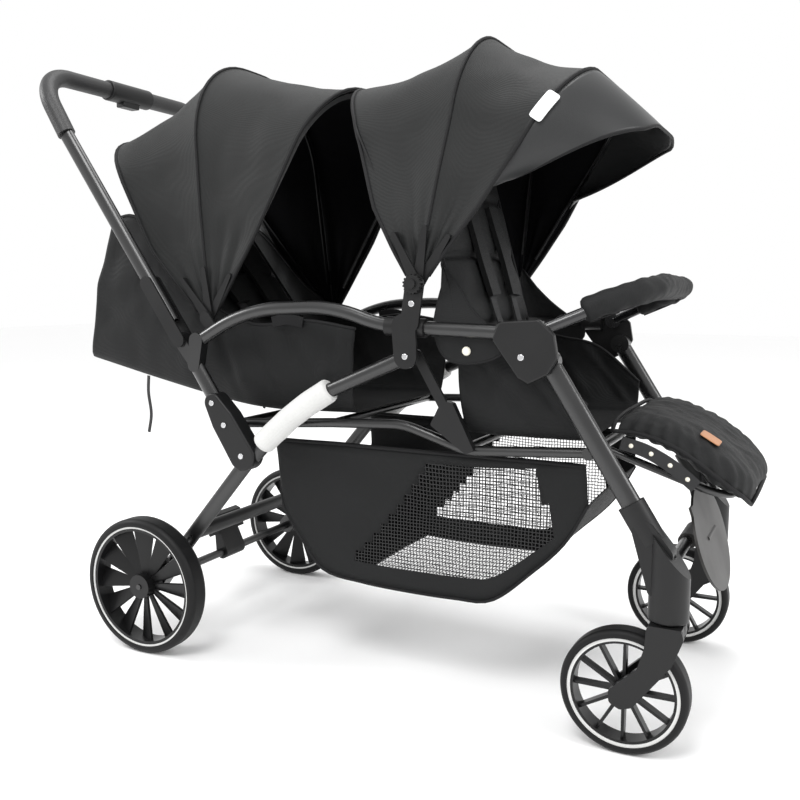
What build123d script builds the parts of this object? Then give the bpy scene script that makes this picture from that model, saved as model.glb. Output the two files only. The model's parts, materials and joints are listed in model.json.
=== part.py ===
"""Tandem double stroller: a folding tube frame with two seats in line, two hoods, a basket and four wheels.

Frame: X forward in the direction of travel, Y to the left, Z up, in millimetres.
Origin: on the floor, under the middle of the overall length and width.
Points in the side plan are (x, z) pairs. Pieces are drawn for the right side, at negative y, and mirrored.
Everything is drawn as it stands ready to use: frame open, hoods open, seats reclined, casters trailing.
"""

import os
from math import cos, hypot, radians, sin

from build123d import *

os.makedirs("parts", exist_ok=True)

# ---------------------------------------------------------------- driving dimensions
# overall layout
rear_axle_x = -385.0
caster_x = 540.0
caster_half_track = 228.0
rear_half_track = 254.0
rail_half_width = 235.0
handle_half_width = 237.0
seat_half_width = 200.0

# wheels
rear_wheel_r = 125.0
rear_tyre_width = 42.0
front_wheel_r = 92.0
front_tyre_width = 36.0
caster_trail = 57.0

# tubes
rail_r = 11.0
link_r = 12.0
bar_r = 11.0
seat_tube_r = 8.0
tube_wall = 1.6
handle_depth, handle_breadth = 28.0, 20.0
leg_depth, leg_breadth = 30.0, 20.0
rear_leg_depth, rear_leg_breadth = 28.0, 16.0
pin_r = 4.0

# soft parts
pad_thickness = 26.0
fabric = 3.0
grip_thickness = 6.0
sleeve_thickness = 8.5

# clearances
run_clearance = 0.1
side_gap = 1.0
swivel_gap = 2.0

# side plan: hinge centres
knuckle = (-297.0, 575.0)
rear_hinge = (-167.0, 381.0)
front_hinge = (361.0, 560.0)
bumper_hinge = (346.0, 603.0)
mid_pivot = (143.0, 561.0)
front_hood = (158.0, 670.0)
rear_hood = (-255.0, 613.0)
seat_front = (415.0, 425.0)
rear_tube = (-205.0, 428.0)
front_back_foot = (230.0, 470.0)
rear_back_foot = (-232.0, 492.0)
rear_axle = (rear_axle_x, rear_wheel_r)
front_axle = (caster_x - caster_trail, front_wheel_r)

# side plan: ends and bends of the tubes
grip_foot = (-550.0, 941.0)
grip_corner = (-622.0, 1061.0)
rail_route = [(-262.0, 574.0), (-160.0, 629.0), (8.0, 635.0), (95.0, 606.0), (300.0, 600.0)]
rail_bends = [300.0, 280.0, 220.0]
link_route = [(139.0, 560.0), (-45.0, 481.0), (-152.0, 379.0)]
link_bend = 240.0
leg_foot = (498.0, 343.0)
cross_tube = (533.0, 268.0)

# hoods: each bow's angle above the x axis, its height from the hinge and its corner radius
front_bows = {"rear": (117.5, 366.0, 125.0), "mid": (82.0, 388.0, 135.0), "front": (55.5, 388.0, 130.0)}
rear_bows = {"rear": (129.0, 424.0, 120.0), "mid": (96.0, 458.0, 170.0), "front": (59.5, 448.0, 130.0)}
front_base, rear_base = 234.0, 208.0
visor_reach = 124.0
visor_droop = 16.0

parts = {}


# ---------------------------------------------------------------- helpers
def at(point, y=0.0):
    """The 3-D place of a side-plan point."""
    return (point[0], y, point[1])


def along(start, end, distance):
    """The side-plan point at a distance from start towards end."""
    length = hypot(end[0] - start[0], end[1] - start[1])
    share = distance / length
    return (start[0] + share * (end[0] - start[0]), start[1] + share * (end[1] - start[1]))


def span(start, end):
    return hypot(end[0] - start[0], end[1] - start[1])


def side_plane(y):
    """A plane facing outward on the right side: local x is forward, local y is up."""
    return Plane(origin=(0, y, 0), x_dir=(1, 0, 0), z_dir=(0, -1, 0))


def finish(name, *solids):
    """Keeps the finished solids as one named piece and writes it."""
    piece = solids[0] if len(solids) == 1 else Compound(children=list(solids))
    piece.label = name
    parts[name] = piece
    export_step(piece, f"parts/{name}.step")


def both_sides(part):
    return part, mirror(part, about=Plane.XZ)


def tube(points, bends, outer, inner=0.0):
    """A round tube, or a rod where inner is 0, along straight runs joined by arcs."""
    with BuildPart() as made:
        with BuildLine() as route:
            if len(points) == 2:
                Line(*points)
            else:
                FilletPolyline(*points, radius=bends)
        with BuildSketch(Plane(origin=route.line @ 0, z_dir=route.line % 0)):
            Circle(outer)
            if inner:
                Circle(inner, mode=Mode.SUBTRACT)
        sweep(path=route.line)
    return made.part


def oval_tube(start, end, y, depth, breadth, wall=0.0):
    """A straight oval tube in the side plan; depth lies in the plan, breadth along y."""
    run = Vector(end[0] - start[0], 0, end[1] - start[1])
    with BuildPart() as made:
        with BuildSketch(Plane(origin=at(start, y), x_dir=(0, 1, 0), z_dir=run)):
            Ellipse(breadth / 2, depth / 2)
            if wall:
                Ellipse(breadth / 2 - wall, depth / 2 - wall, mode=Mode.SUBTRACT)
        extrude(amount=run.length)
    return made.part


def pin(centre, y_outer, y_inner, radius):
    """A round bar along y between two levels, y_outer being the more negative."""
    with BuildPart() as made:
        with BuildSketch(side_plane(y_inner)):
            with Locations(centre):
                Circle(radius)
        extrude(amount=y_inner - y_outer)
    return made.part


def rivet(centre, y_face, radius=5.0, height=2.2):
    """A domed rivet head on an outward face."""
    with BuildPart() as made:
        with BuildSketch(side_plane(y_face)):
            with Locations(centre):
                Circle(radius)
        extrude(amount=height)
        fillet(made.faces().sort_by(Axis.Y)[0].edges(), 1.6)
    return made.part


def strap_plate(circles, y_outer, y_inner):
    """A flat plate along y whose outline wraps tightly round circles given as (centre, radius)."""
    with BuildPart() as made:
        with BuildSketch(side_plane(y_inner)):
            for centre, radius in circles:
                with Locations(centre):
                    Circle(radius)
            make_hull()
        extrude(amount=y_inner - y_outer)
    return made.part


# ---------------------------------------------------------------- upper frame
rail_points = [at(point, -rail_half_width) for point in rail_route]
side_rail = tube(rail_points, rail_bends, rail_r, rail_r - tube_wall)
side_rail_solid = tube(rail_points, rail_bends, rail_r)
finish("side_rails", *both_sides(side_rail))

eye_r = 13.0
eye_breadth = handle_breadth - 2 * side_gap
upright_start = along(knuckle, rear_hinge, 34)
upright_end = along(knuckle, rear_hinge, span(knuckle, rear_hinge) - 24)
rail_lug = rail_route[0]
with BuildPart() as upright:
    add(oval_tube(upright_start, upright_end, -handle_half_width, handle_depth, eye_breadth))
    add(strap_plate([(knuckle, eye_r), (along(knuckle, rear_hinge, 40), 9)],
                    -handle_half_width - eye_breadth / 2, -handle_half_width + eye_breadth / 2))
    add(strap_plate([(rail_lug, 14), (along(knuckle, rear_hinge, 52), 12)],
                    -handle_half_width - eye_breadth / 2, -handle_half_width + eye_breadth / 2))
    add(pin(knuckle, -handle_half_width - 30, -handle_half_width + 30, pin_r + run_clearance),
        mode=Mode.SUBTRACT)
    add(side_rail_solid, mode=Mode.SUBTRACT)
finish("rear_uprights", *both_sides(upright.part))

link_points = [at(point, -rail_half_width) for point in link_route]
lower_link = tube(link_points, [link_bend], link_r, link_r - tube_wall)
lower_link_solid = tube(link_points, [link_bend], link_r)
finish("lower_links", *both_sides(lower_link))

sleeve_points = [at(point, -rail_half_width) for point in (
    along(link_route[1], link_route[0], 52), link_route[1], along(link_route[1], link_route[2], 122))]
finish("carry_sleeves", *both_sides(tube(sleeve_points, [link_bend], link_r + sleeve_thickness, link_r)))

housing_outer, housing_inner = -252.0, -223.0
with BuildPart() as housing:
    add(strap_plate([(along(knuckle, rear_hinge, 128), 17), (along(knuckle, rear_hinge, 165), 24),
                     (rear_hinge, 26)], housing_outer, housing_inner))
    fillet(housing.faces().sort_by(Axis.Y)[0].edges(), 4)
    add(oval_tube(knuckle, upright_end, -handle_half_width, handle_depth, eye_breadth), mode=Mode.SUBTRACT)
    add(lower_link_solid, mode=Mode.SUBTRACT)
finish("joint_housings", *both_sides(housing.part))

plate_outer, plate_inner = -253.0, -248.0
clamp_r = rail_r + 4
with BuildPart() as mid_plate:
    add(strap_plate([(front_hood, 15), ((150, 612), 15)], plate_outer, plate_inner))
    add(strap_plate([((140, 606), 20), (mid_pivot, 19)], plate_outer, plate_inner))
    add(tube([(104, -rail_half_width, 606), (170, -rail_half_width, 603.5)], [], clamp_r))
    add(pin(mid_pivot, plate_outer, -226, 9))
    add(side_rail_solid, mode=Mode.SUBTRACT)
    add(lower_link_solid, mode=Mode.SUBTRACT)
    add(pin(front_hood, plate_outer - 1, plate_inner + 1, pin_r), mode=Mode.SUBTRACT)
finish("mid_plates", *both_sides(mid_plate.part))

bracket_outer, bracket_inner = -253.0, -243.0
with BuildPart() as bracket:
    with BuildSketch(side_plane(bracket_inner)):
        with BuildLine():
            Polyline((282, 590), (292, 616), (352, 620), (374, 600), (380, 566), (366, 542),
                     (338, 528), (322, 536), close=True)
        make_face()
        fillet(vertices(), 7)
    extrude(amount=bracket_inner - bracket_outer)
    fillet(bracket.faces().sort_by(Axis.Y)[0].edges(), 3)
    add(tube([(286, -rail_half_width, 600.4), (324, -rail_half_width, 599.3)], [], rail_r + 4.5))
    add(side_rail_solid, mode=Mode.SUBTRACT)
    for centre in (front_hinge, bumper_hinge):
        add(pin(centre, bracket_outer + 3, -219, pin_r))
finish("front_brackets", *both_sides(bracket.part))

# ---------------------------------------------------------------- seat frame
rail_y = 194.0
seat_rail = tube([at(point, -rail_y) for point in
                  (rear_tube, (-20, 441), (112, 447), (222, 413), seat_front)],
                 [120.0, 120.0, 90.0], seat_tube_r)
with BuildPart() as seat_frame:
    add(seat_rail)
    add(mirror(seat_rail, about=Plane.XZ))
    add(pin(seat_front, -rail_y, rail_y, seat_tube_r))
    for y in (-rail_y, rail_y):
        add(pin(seat_front, y - 9, y + 9, seat_tube_r + 1.5))
    for cross in ((-20, 441), (222, 418)):
        add(pin(cross, -rail_y - 3, rail_y + 3, seat_tube_r - 1.5))
    add(pin(rear_tube, housing_inner, -housing_inner, seat_tube_r + 1))
finish("seat_frame", seat_frame.part)

strut_outer, strut_inner = -211.0, -205.0
with BuildPart() as strut:
    add(strap_plate([(mid_pivot, 8), ((190, 480), 8)], strut_outer, strut_inner))
    with BuildSketch(side_plane(-rail_y - seat_tube_r + 4)):
        with BuildLine():
            Polyline((166, 452), (186, 492), (204, 488), (240, 416), (226, 410), close=True)
        make_face()
        fillet(vertices(), 4)
    extrude(amount=13)
    add(pin(mid_pivot, -226, strut_inner, 6))
    add(seat_rail, mode=Mode.SUBTRACT)
    add(lower_link_solid, mode=Mode.SUBTRACT)
finish("seat_struts", *both_sides(strut.part))

# ---------------------------------------------------------------- push handle
fold_tube_start = along(knuckle, grip_foot, 36)
handle_tube = oval_tube(fold_tube_start, grip_foot, -handle_half_width, handle_depth, handle_breadth, tube_wall)
finish("handle_tubes", *both_sides(handle_tube))

plate_thick = 4.0
plate_face = handle_half_width + handle_breadth / 2
plate_circles = [(knuckle, 13), (along(knuckle, grip_foot, 118), 13)]
with BuildPart() as fold_plate:
    add(strap_plate(plate_circles, -plate_face - plate_thick, -plate_face))
    add(strap_plate(plate_circles, -handle_half_width + handle_breadth / 2,
                    -handle_half_width + handle_breadth / 2 + plate_thick))
    add(pin(knuckle, -plate_face - plate_thick, -handle_half_width + handle_breadth / 2 + plate_thick, pin_r))
finish("fold_plates", *both_sides(fold_plate.part))

bar_bend = 78.0
bar_foot = along(grip_foot, grip_corner, -26)
bar_points = [at(bar_foot, -handle_half_width), at(grip_corner, -handle_half_width),
              at(grip_corner, handle_half_width), at(bar_foot, handle_half_width)]
grip_points = [at(along(grip_foot, grip_corner, 2), -handle_half_width), at(grip_corner, -handle_half_width),
               at(grip_corner, handle_half_width), at(along(grip_foot, grip_corner, 2), handle_half_width)]
fold_housing_half = 58.0
bar_inner = handle_breadth / 2 - tube_wall - 0.2
push_bar = tube(bar_points, [bar_bend] * 2, bar_inner)
finish("push_bar", push_bar)

grip_r = bar_inner + grip_thickness + 2
grip_straight = 150.0
with BuildPart() as grips:
    add(tube(grip_points, [bar_bend] * 2, grip_r, bar_inner))
    with BuildSketch(side_plane(grip_straight)):
        with Locations(grip_corner):
            Circle(3 * grip_r)
    extrude(amount=2 * grip_straight, mode=Mode.SUBTRACT)
    add(pin(grip_corner, -grip_straight, -fold_housing_half, grip_r))
    add(pin(grip_corner, fold_housing_half, grip_straight, grip_r))
    add(pin(grip_corner, -grip_straight, grip_straight, bar_inner), mode=Mode.SUBTRACT)
finish("handle_grips", grips.part)

button_size = (30.0, 46.0, 13.0)
button_travel = 5.0
button_gap = 0.5
button_top = grip_corner[1] - bar_inner - 1.0 - button_travel
with BuildPart() as fold_housing:
    with BuildSketch(side_plane(fold_housing_half)):
        with Locations(grip_corner):
            Ellipse(21, 20)
    extrude(amount=2 * fold_housing_half)
    fillet(fold_housing.edges(), 3)
    add(pin(grip_corner, -fold_housing_half, fold_housing_half, bar_inner), mode=Mode.SUBTRACT)
    with Locations((grip_corner[0], 0, button_top + button_travel - 15)):
        Box(button_size[0] - 8 + 2 * button_gap, button_size[1] + 2 * button_gap, 30, mode=Mode.SUBTRACT)
    add(push_bar, mode=Mode.SUBTRACT)
finish("fold_housing", fold_housing.part)

with BuildPart() as fold_button:
    with Locations((grip_corner[0], 0, button_top - button_size[2] / 2)):
        Box(button_size[0] - 8, button_size[1], button_size[2])
    fillet(fold_button.edges().filter_by(Axis.Z), 3)
    fillet(fold_button.faces().sort_by(Axis.Z)[0].edges(), 2)
finish("fold_button", fold_button.part)

# ---------------------------------------------------------------- front legs and casters
leg_y = -230.0
hub_r = 17.0
leg_start = along(front_hinge, leg_foot, 12)
with BuildPart() as front_leg:
    add(oval_tube(leg_start, leg_foot, leg_y, leg_depth, leg_breadth, tube_wall))
    add(pin(front_hinge, leg_y - leg_breadth / 2, leg_y + leg_breadth / 2, hub_r))
    add(pin(front_hinge, leg_y - 30, leg_y + 30, pin_r + run_clearance), mode=Mode.SUBTRACT)
finish("front_leg_tubes", *both_sides(front_leg.part))

stem_r = 8.0
caster_r = 28.0
caster_foot_z = 205.0
stem_top = 296.0
cap_plane = Plane(origin=(570, 0, 266), x_dir=(0, 1, 0), z_dir=(63, 0, 52))
with BuildPart() as caster_body:
    with BuildSketch(Plane.XY.offset(caster_foot_z)):
        with Locations((caster_x, -caster_half_track)):
            Circle(caster_r)
    extrude(amount=150)
    split(bisect_by=cap_plane, keep=Keep.BOTTOM)
    fillet(caster_body.faces().sort_by(Axis.Z)[0].edges(), 3)
    add(oval_tube(along(leg_foot, front_hinge, 26), along(leg_foot, front_hinge, -34), leg_y,
                  leg_depth + 10, leg_breadth + 14))
    with BuildSketch(side_plane(leg_y + 15)):
        for centre, radius in (((505, 330), 16), ((522, 250), 10), ((532, 300), 14)):
            with Locations(centre):
                Circle(radius)
        make_hull()
    extrude(amount=30)
    add(oval_tube(front_hinge, leg_foot, leg_y, leg_depth, leg_breadth), mode=Mode.SUBTRACT)
    with BuildSketch(Plane.XY.offset(caster_foot_z)):
        with Locations((caster_x, -caster_half_track)):
            Circle(stem_r + run_clearance)
    extrude(amount=stem_top + 3 - caster_foot_z, mode=Mode.SUBTRACT)
caster_solid = caster_body.part
finish("caster_housings", *both_sides(caster_solid))

with BuildPart() as front_cross:
    add(pin(cross_tube, -caster_half_track + 12, caster_half_track - 12, 9))
    add(caster_solid, mode=Mode.SUBTRACT)
    add(mirror(caster_solid, about=Plane.XZ), mode=Mode.SUBTRACT)
finish("front_cross_tube", front_cross.part.solids().sort_by(SortBy.VOLUME)[-1])

rest_top, rest_foot = (546.0, 336.0), (594.0, 193.0)
rest_run = Vector(rest_foot[0] - rest_top[0], 0, rest_foot[1] - rest_top[1])
rest_plane = Plane(origin=at(rest_top), x_dir=(0, 1, 0), z_dir=Vector(0, 1, 0).cross(rest_run))
rest_neck, rest_bulb, rest_bulb_height = 96.0, 124.0, 84.0
with BuildPart() as footrest:
    with BuildSketch(rest_plane):
        with Locations((0, 45)):
            Rectangle(2 * rest_neck, 90)
        with Locations((0, rest_run.length - rest_bulb_height)):
            Ellipse(rest_bulb, rest_bulb_height)
    extrude(amount=4)
    add(strap_plate([(cross_tube, 13), ((564, 276), 4)], -40, 40))
    add(pin(cross_tube, -60, 60, 9), mode=Mode.SUBTRACT)
finish("footrest", footrest.part)

fork_top = caster_foot_z - swivel_gap
crown_height = 15.0
arm_thick = 10.0
wheel_gap = 3.0
arm_inner = front_tyre_width / 2 + wheel_gap
axle_r = 5.0
with BuildPart() as fork:
    with BuildSketch(Plane.XY.offset(fork_top - crown_height)):
        with Locations((caster_x, -caster_half_track)):
            Circle(25)
    extrude(amount=crown_height)
    for y in (-caster_half_track - arm_inner - arm_thick, -caster_half_track + arm_inner):
        with BuildSketch(side_plane(y + arm_thick)):
            with BuildLine():
                Polyline((516, fork_top), (563, fork_top), (566, 190), (552, 150), (500, 80),
                         (483, 74), (467, 82), (466, 100), (505, 138), (514, 170), close=True)
            make_face()
            fillet(vertices(), 8)
        extrude(amount=arm_thick)
    with BuildSketch(side_plane(-caster_half_track + arm_inner + arm_thick)):
        with BuildLine():
            Polyline((518, fork_top), (563, fork_top), (564, fork_top - crown_height),
                     (519, fork_top - crown_height), close=True)
        make_face()
    extrude(amount=2 * (arm_inner + arm_thick))
    with BuildSketch(Plane.XY.offset(fork_top - 1)):
        with Locations((caster_x, -caster_half_track)):
            Circle(stem_r)
    extrude(amount=stem_top - fork_top + 1)
    add(pin(front_axle, -caster_half_track - arm_inner - 4, -caster_half_track + arm_inner + 4, axle_r))
for name, solid in zip(("caster_fork_right", "caster_fork_left"), both_sides(fork.part)):
    finish(name, solid)


# ---------------------------------------------------------------- wheels
def wheel(label, centre, track, radius, tyre_width, tyre_depth, ring_band, hub, spokes, bore):
    """Tyre, spoked wheel body and two trim rings, for each side.

    spokes is (count, width at the hub, width at the rim, depth, tilt about the spoke's own length).
    """
    middle = at(centre, -track)
    section = Plane(origin=middle, x_dir=(1, 0, 0), z_dir=(0, 0, 1))
    axle = Axis(middle, (0, 1, 0))
    seat_r = radius - tyre_depth
    barrel = tyre_width - 8
    with BuildPart() as tyre:
        with BuildSketch(section):
            with Locations((seat_r + tyre_depth / 2, 0)):
                Rectangle(tyre_depth, tyre_width)
            fillet(vertices().group_by(Axis.X)[-1], min(0.42 * tyre_width, 0.8 * tyre_depth))
        revolve(axis=axle)
    count, hub_width, rim_width, depth, tilt = spokes
    ring_inner = seat_r - ring_band - 0.8
    with BuildPart() as rim:
        with BuildSketch(section):
            with Locations((seat_r - 4.5, 0)):
                Rectangle(9, barrel)
            with Locations((hub[0] / 2 + bore / 2, 0)):
                Rectangle(hub[0] - bore, hub[1])
        revolve(axis=axle)
        spoke_reach = seat_r - 7 - (hub[0] - 3)
        with BuildPart(mode=Mode.PRIVATE) as spoke:
            with BuildSketch():
                with BuildLine():
                    Polyline((-spoke_reach / 2, -hub_width / 2), (spoke_reach / 2, -rim_width / 2),
                             (spoke_reach / 2, rim_width / 2), (-spoke_reach / 2, hub_width / 2), close=True)
                make_face()
            extrude(amount=depth / 2, both=True)
        frame_plane = Plane(origin=middle, x_dir=(1, 0, 0), z_dir=(0, -1, 0))
        with Locations(frame_plane):
            with PolarLocations((seat_r - 7 + hub[0] - 3) / 2, count):
                add(spoke.part, rotation=(tilt, 0, 0))
    with BuildPart() as ring:
        with BuildSketch(section):
            for face in (-1, 1):
                with Locations((ring_inner + ring_band / 2 + 0.4, face * (barrel / 2 + 0.75))):
                    Rectangle(ring_band, 1.5)
        revolve(axis=axle)
    for piece, made in (("tyre", tyre), ("rim", rim), ("ring", ring)):
        for side, solid in zip(("right", "left"), both_sides(made.part)):
            finish(f"{label}_{piece}_{side}", solid)


wheel("rear", rear_axle, rear_half_track, rear_wheel_r, rear_tyre_width, 13.5, 3.2,
      (22.0, 38.0), (12, 12.0, 38.0, 4.0, 24.0), 5.0 + run_clearance)
wheel("front", front_axle, caster_half_track, front_wheel_r, front_tyre_width, 11.0, 4.6,
      (15.0, 30.0), (12, 5.0, 4.2, 14.0, 0.0), axle_r + run_clearance)

# ---------------------------------------------------------------- rear legs, axle and brake
rear_leg_y = -213.0
axle_tube_r = 8.0
rear_leg_start = along(rear_hinge, rear_axle, 10)
rear_leg_end = along(rear_hinge, rear_axle, span(rear_hinge, rear_axle) - 12)
leg_outer, leg_inner = rear_leg_y - rear_leg_breadth / 2, rear_leg_y + rear_leg_breadth / 2
with BuildPart() as rear_leg:
    add(oval_tube(rear_leg_start, rear_leg_end, rear_leg_y, rear_leg_depth, rear_leg_breadth, tube_wall))
    add(pin(rear_hinge, leg_outer, leg_inner, 16))
    add(strap_plate([(rear_axle, 17), (along(rear_axle, rear_hinge, 42), 15)],
                    leg_outer - 7, leg_inner))
    add(pin(rear_hinge, leg_outer - 10, leg_inner + 10, pin_r + run_clearance), mode=Mode.SUBTRACT)
    add(pin(rear_axle, leg_outer - 20, leg_inner + 20, axle_tube_r), mode=Mode.SUBTRACT)
finish("rear_leg_tubes", *both_sides(rear_leg.part))

stub_r = 5.0
stub_end = rear_half_track + 21.0
with BuildPart() as rear_axle_bar:
    add(pin(rear_axle, leg_outer - 7, -leg_outer + 7, axle_tube_r))
    add(pin(rear_axle, -stub_end, stub_end, stub_r))
finish("rear_axle_bar", rear_axle_bar.part)

crossbar = along(rear_axle, rear_hinge, 128)
with BuildPart() as rear_crossbar:
    with BuildSketch(side_plane(-leg_inner)):
        with Locations(crossbar):
            Ellipse(16, 12, rotation=50)
    extrude(amount=-2 * leg_inner)
finish("rear_crossbar", rear_crossbar.part)

pedal_tip = (-404.0, 196.0)
with BuildPart() as pedal:
    add(strap_plate([(rear_axle, 14), ((-396, 168), 6)], -30, 30))
    with BuildSketch(side_plane(52)):
        with BuildLine():
            Polyline((-398, 160), (-389, 164), (-398, 200), (-410, 204), (-414, 198), close=True)
        make_face()
        fillet(vertices(), 2)
    extrude(amount=104)
    add(pin(rear_axle, -60, 60, axle_tube_r + run_clearance), mode=Mode.SUBTRACT)
finish("brake_pedal", pedal.part)

# ---------------------------------------------------------------- pins and rivets on the frame
with BuildPart() as pivots:
    add(pin(rear_hinge, housing_inner, leg_inner + 2, pin_r))
frame_rivets = [pivots.part]
for centre, face in ((along(knuckle, rear_hinge, 128), housing_outer), (along(knuckle, rear_hinge, 172), housing_outer),
                     (rear_hinge, housing_outer), (mid_pivot, plate_outer), ((154, 641), plate_outer),
                     ((327, 566), bracket_outer)):
    frame_rivets.append(rivet(centre, face))
mirrored = [mirror(solid, about=Plane.XZ) for solid in frame_rivets]
finish("frame_rivets", *frame_rivets, *mirrored)

# ---------------------------------------------------------------- hoods
bow_band, bow_thick = 10.0, 3.0
hood_shoulder = 196.0
hub_clear = 60.0


def bow_plane(hinge, angle):
    """Local x is y of the stroller, local y runs out from the hood hinge at the bow's angle."""
    turn = radians(angle)
    return Plane(origin=at(hinge), x_dir=(0, 1, 0), z_dir=(sin(turn), 0, -cos(turn)))


def hoop(base, height, inset):
    """Inner and outer lines of a bow or of the cloth over it: legs that lean in and a rounded top."""
    base, shoulder, top = base - inset, hood_shoulder - inset, height - inset
    knee = height * 0.42
    lean = (base + shoulder) / 2 + 2
    return [(-base, hub_clear), (-lean, knee), (-shoulder, top), (shoulder, top), (lean, knee), (base, hub_clear)]


def hoop_face(base, height, corner, outer_inset, inner_inset):
    """A thin hoop-shaped face between two insets."""
    with BuildSketch() as made:
        with BuildLine():
            outer = FilletPolyline(*hoop(base, height, outer_inset),
                                   radius=[60, corner - outer_inset, corner - outer_inset, 60])
            inner = FilletPolyline(*hoop(base, height, inner_inset),
                                   radius=[60, corner - inner_inset, corner - inner_inset, 60])
            Line(outer @ 0, inner @ 0)
            Line(outer @ 1, inner @ 1)
        make_face()
    return made.sketch


def bow(hinge, base, angle, height, corner, lug_y):
    """A flat bow: a hoop with a lug at each end that turns on the hood hinge."""
    plane = bow_plane(hinge, angle)
    with BuildPart() as made:
        with BuildSketch(plane.offset(-bow_thick / 2)):
            add(hoop_face(base, height, corner, fabric + 1, fabric + 1 + bow_band))
        extrude(amount=bow_thick)
        for side in (-1, 1):
            outer, inner = sorted((side * lug_y, side * (lug_y - 3)))
            turn = radians(angle)
            tip = (hinge[0] + (hub_clear + 24) * cos(turn), hinge[1] + (hub_clear + 24) * sin(turn))
            add(strap_plate([(hinge, 9), (tip, 4)], outer, inner))
            foot_in, foot_out = sorted((side * (base - fabric - 1 - bow_band), side * lug_y))
            with BuildSketch(plane.offset(-bow_thick / 2)):
                with Locations(((foot_in + foot_out) / 2, hub_clear + 14)):
                    Rectangle(foot_out - foot_in, 28)
            extrude(amount=bow_thick)
        add(pin(hinge, -300, 300, pin_r + run_clearance), mode=Mode.SUBTRACT)
    return made.part


def cloth(hinge, base, back, front):
    """The cloth between two bows, stretched straight from the rearward hoop to the forward one."""
    shift = bow_thick / 2 + 0.4
    with BuildPart() as made:
        for (angle, height, corner), step in ((back, shift), (front, -shift)):
            with BuildSketch(bow_plane(hinge, angle).offset(step)):
                add(hoop_face(base, height, corner, 0, fabric))
        loft(ruled=True)
    return made.part


front_lugs = {"rear": 246.0, "mid": 242.0, "front": 238.0}
rear_lugs = {"rear": 222.0, "mid": 218.0, "front": 214.0}
for label, hinge, base, bows, lugs in (("front_hood", front_hood, front_base, front_bows, front_lugs),
                                       ("rear_hood", rear_hood, rear_base, rear_bows, rear_lugs)):
    for place, shape in bows.items():
        finish(f"{label}_{place}_bow", bow(hinge, base, *shape, lugs[place]))
    finish(f"{label}_back_cloth", cloth(hinge, base, bows["rear"], bows["mid"]))
    finish(f"{label}_front_cloth", cloth(hinge, base, bows["mid"], bows["front"]))

# sun visor: a curved stiff panel in front of the front hood's leading bow
visor_angle, visor_height, visor_corner = front_bows["front"]
visor_low, visor_high = 150.0, visor_height
with BuildPart() as visor:
    for reach, drop, inset in ((4, 0, 0), (visor_reach, visor_droop, 22)):
        plane = bow_plane(front_hood, visor_angle)
        lead = plane.offset(reach)
        with BuildSketch(lead):
            with BuildLine():
                top = visor_high - drop
                outer = FilletPolyline((-hood_shoulder + inset / 2, visor_low + drop), (-hood_shoulder + inset, top),
                                       (hood_shoulder - inset, top), (hood_shoulder - inset / 2, visor_low + drop),
                                       radius=[visor_corner] * 2)
                inner = FilletPolyline((-hood_shoulder + inset / 2 + 3, visor_low + drop),
                                       (-hood_shoulder + inset + 3, top - 3), (hood_shoulder - inset - 3, top - 3),
                                       (hood_shoulder - inset / 2 - 3, visor_low + drop), radius=[visor_corner - 3] * 2)
                Line(outer @ 0, inner @ 0)
                Line(outer @ 1, inner @ 1)
            make_face()
    loft(ruled=True)
finish("visor", visor.part)

with BuildPart() as hub_disc:
    add(pin(front_hood, -262, plate_outer, 15))
    add(pin(front_hood, -266, -262, 7))
    with Locations(side_plane(-258)):
        with Locations(front_hood):
            with PolarLocations(15, 16):
                Cylinder(1.8, 8, mode=Mode.SUBTRACT)
    add(pin(front_hood, plate_outer, -233, pin_r))
with BuildPart() as rear_post:
    add(strap_plate([(rear_hood, 11), ((-236, 590), 9)], -228.0, -224.0))
    add(pin(rear_hood, -226, -209, pin_r))
    add(side_rail_solid, mode=Mode.SUBTRACT)
finish("hood_hubs", *both_sides(hub_disc.part), *both_sides(rear_post.part))

# ---------------------------------------------------------------- seats
wall = 3.0
tub_half = 188.0
with BuildPart() as front_seat:
    with BuildSketch(side_plane(tub_half)):
        with BuildLine():
            Polyline((198, 586), (214, 438), (250, 436), (406, 440), (408, 494), (330, 560), close=True)
        make_face()
    extrude(amount=2 * tub_half)
    with BuildSketch(side_plane(tub_half - wall)):
        with BuildLine():
            Polyline((150, 640), (180, 456), (460, 460), (500, 640), close=True)
        make_face()
    extrude(amount=2 * (tub_half - wall), mode=Mode.SUBTRACT)
finish("front_seat_cover", front_seat.part)

with BuildPart() as rear_seat:
    with BuildSketch(side_plane(tub_half)):
        with BuildLine():
            Polyline((22, 598), (10, 458), (-150, 455), (-240, 464), (-576, 531), (-492, 796),
                     (-430, 792), (-300, 660), (-190, 604), (-74, 612), close=True)
        make_face()
    extrude(amount=2 * tub_half)
    with BuildSketch(side_plane(tub_half - wall)):
        with BuildLine():
            Polyline((60, 700), (40, 470), (-150, 467), (-238, 476), (-571, 537), (-478, 840),
                     (-100, 840), close=True)
        make_face()
    extrude(amount=2 * (tub_half - wall), mode=Mode.SUBTRACT)
finish("rear_seat_cover", rear_seat.part)


def backrest(foot, lean, length, half_width):
    """A padded back panel that turns about a rod at its foot."""
    turn = radians(lean)
    plane = Plane(origin=at(foot), x_dir=(0, 1, 0), z_dir=(sin(turn), 0, -cos(turn)))
    with BuildPart() as made:
        with BuildSketch(plane.offset(-pad_thickness / 2)):
            with Locations((0, length / 2 + 8)):
                Rectangle(2 * half_width, length - 16)
            fillet(vertices().group_by(Axis.Y)[-1], 60)
        extrude(amount=pad_thickness)
        fillet(made.faces().sort_by(Axis.X)[-1].edges(), 6)
        add(pin(foot, -half_width + 20, half_width - 20, 6))
        with BuildSketch(plane.offset(-4)):
            with Locations((0, 10)):
                Rectangle(2 * half_width - 40, 22)
        extrude(amount=8)
    return made.part


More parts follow.
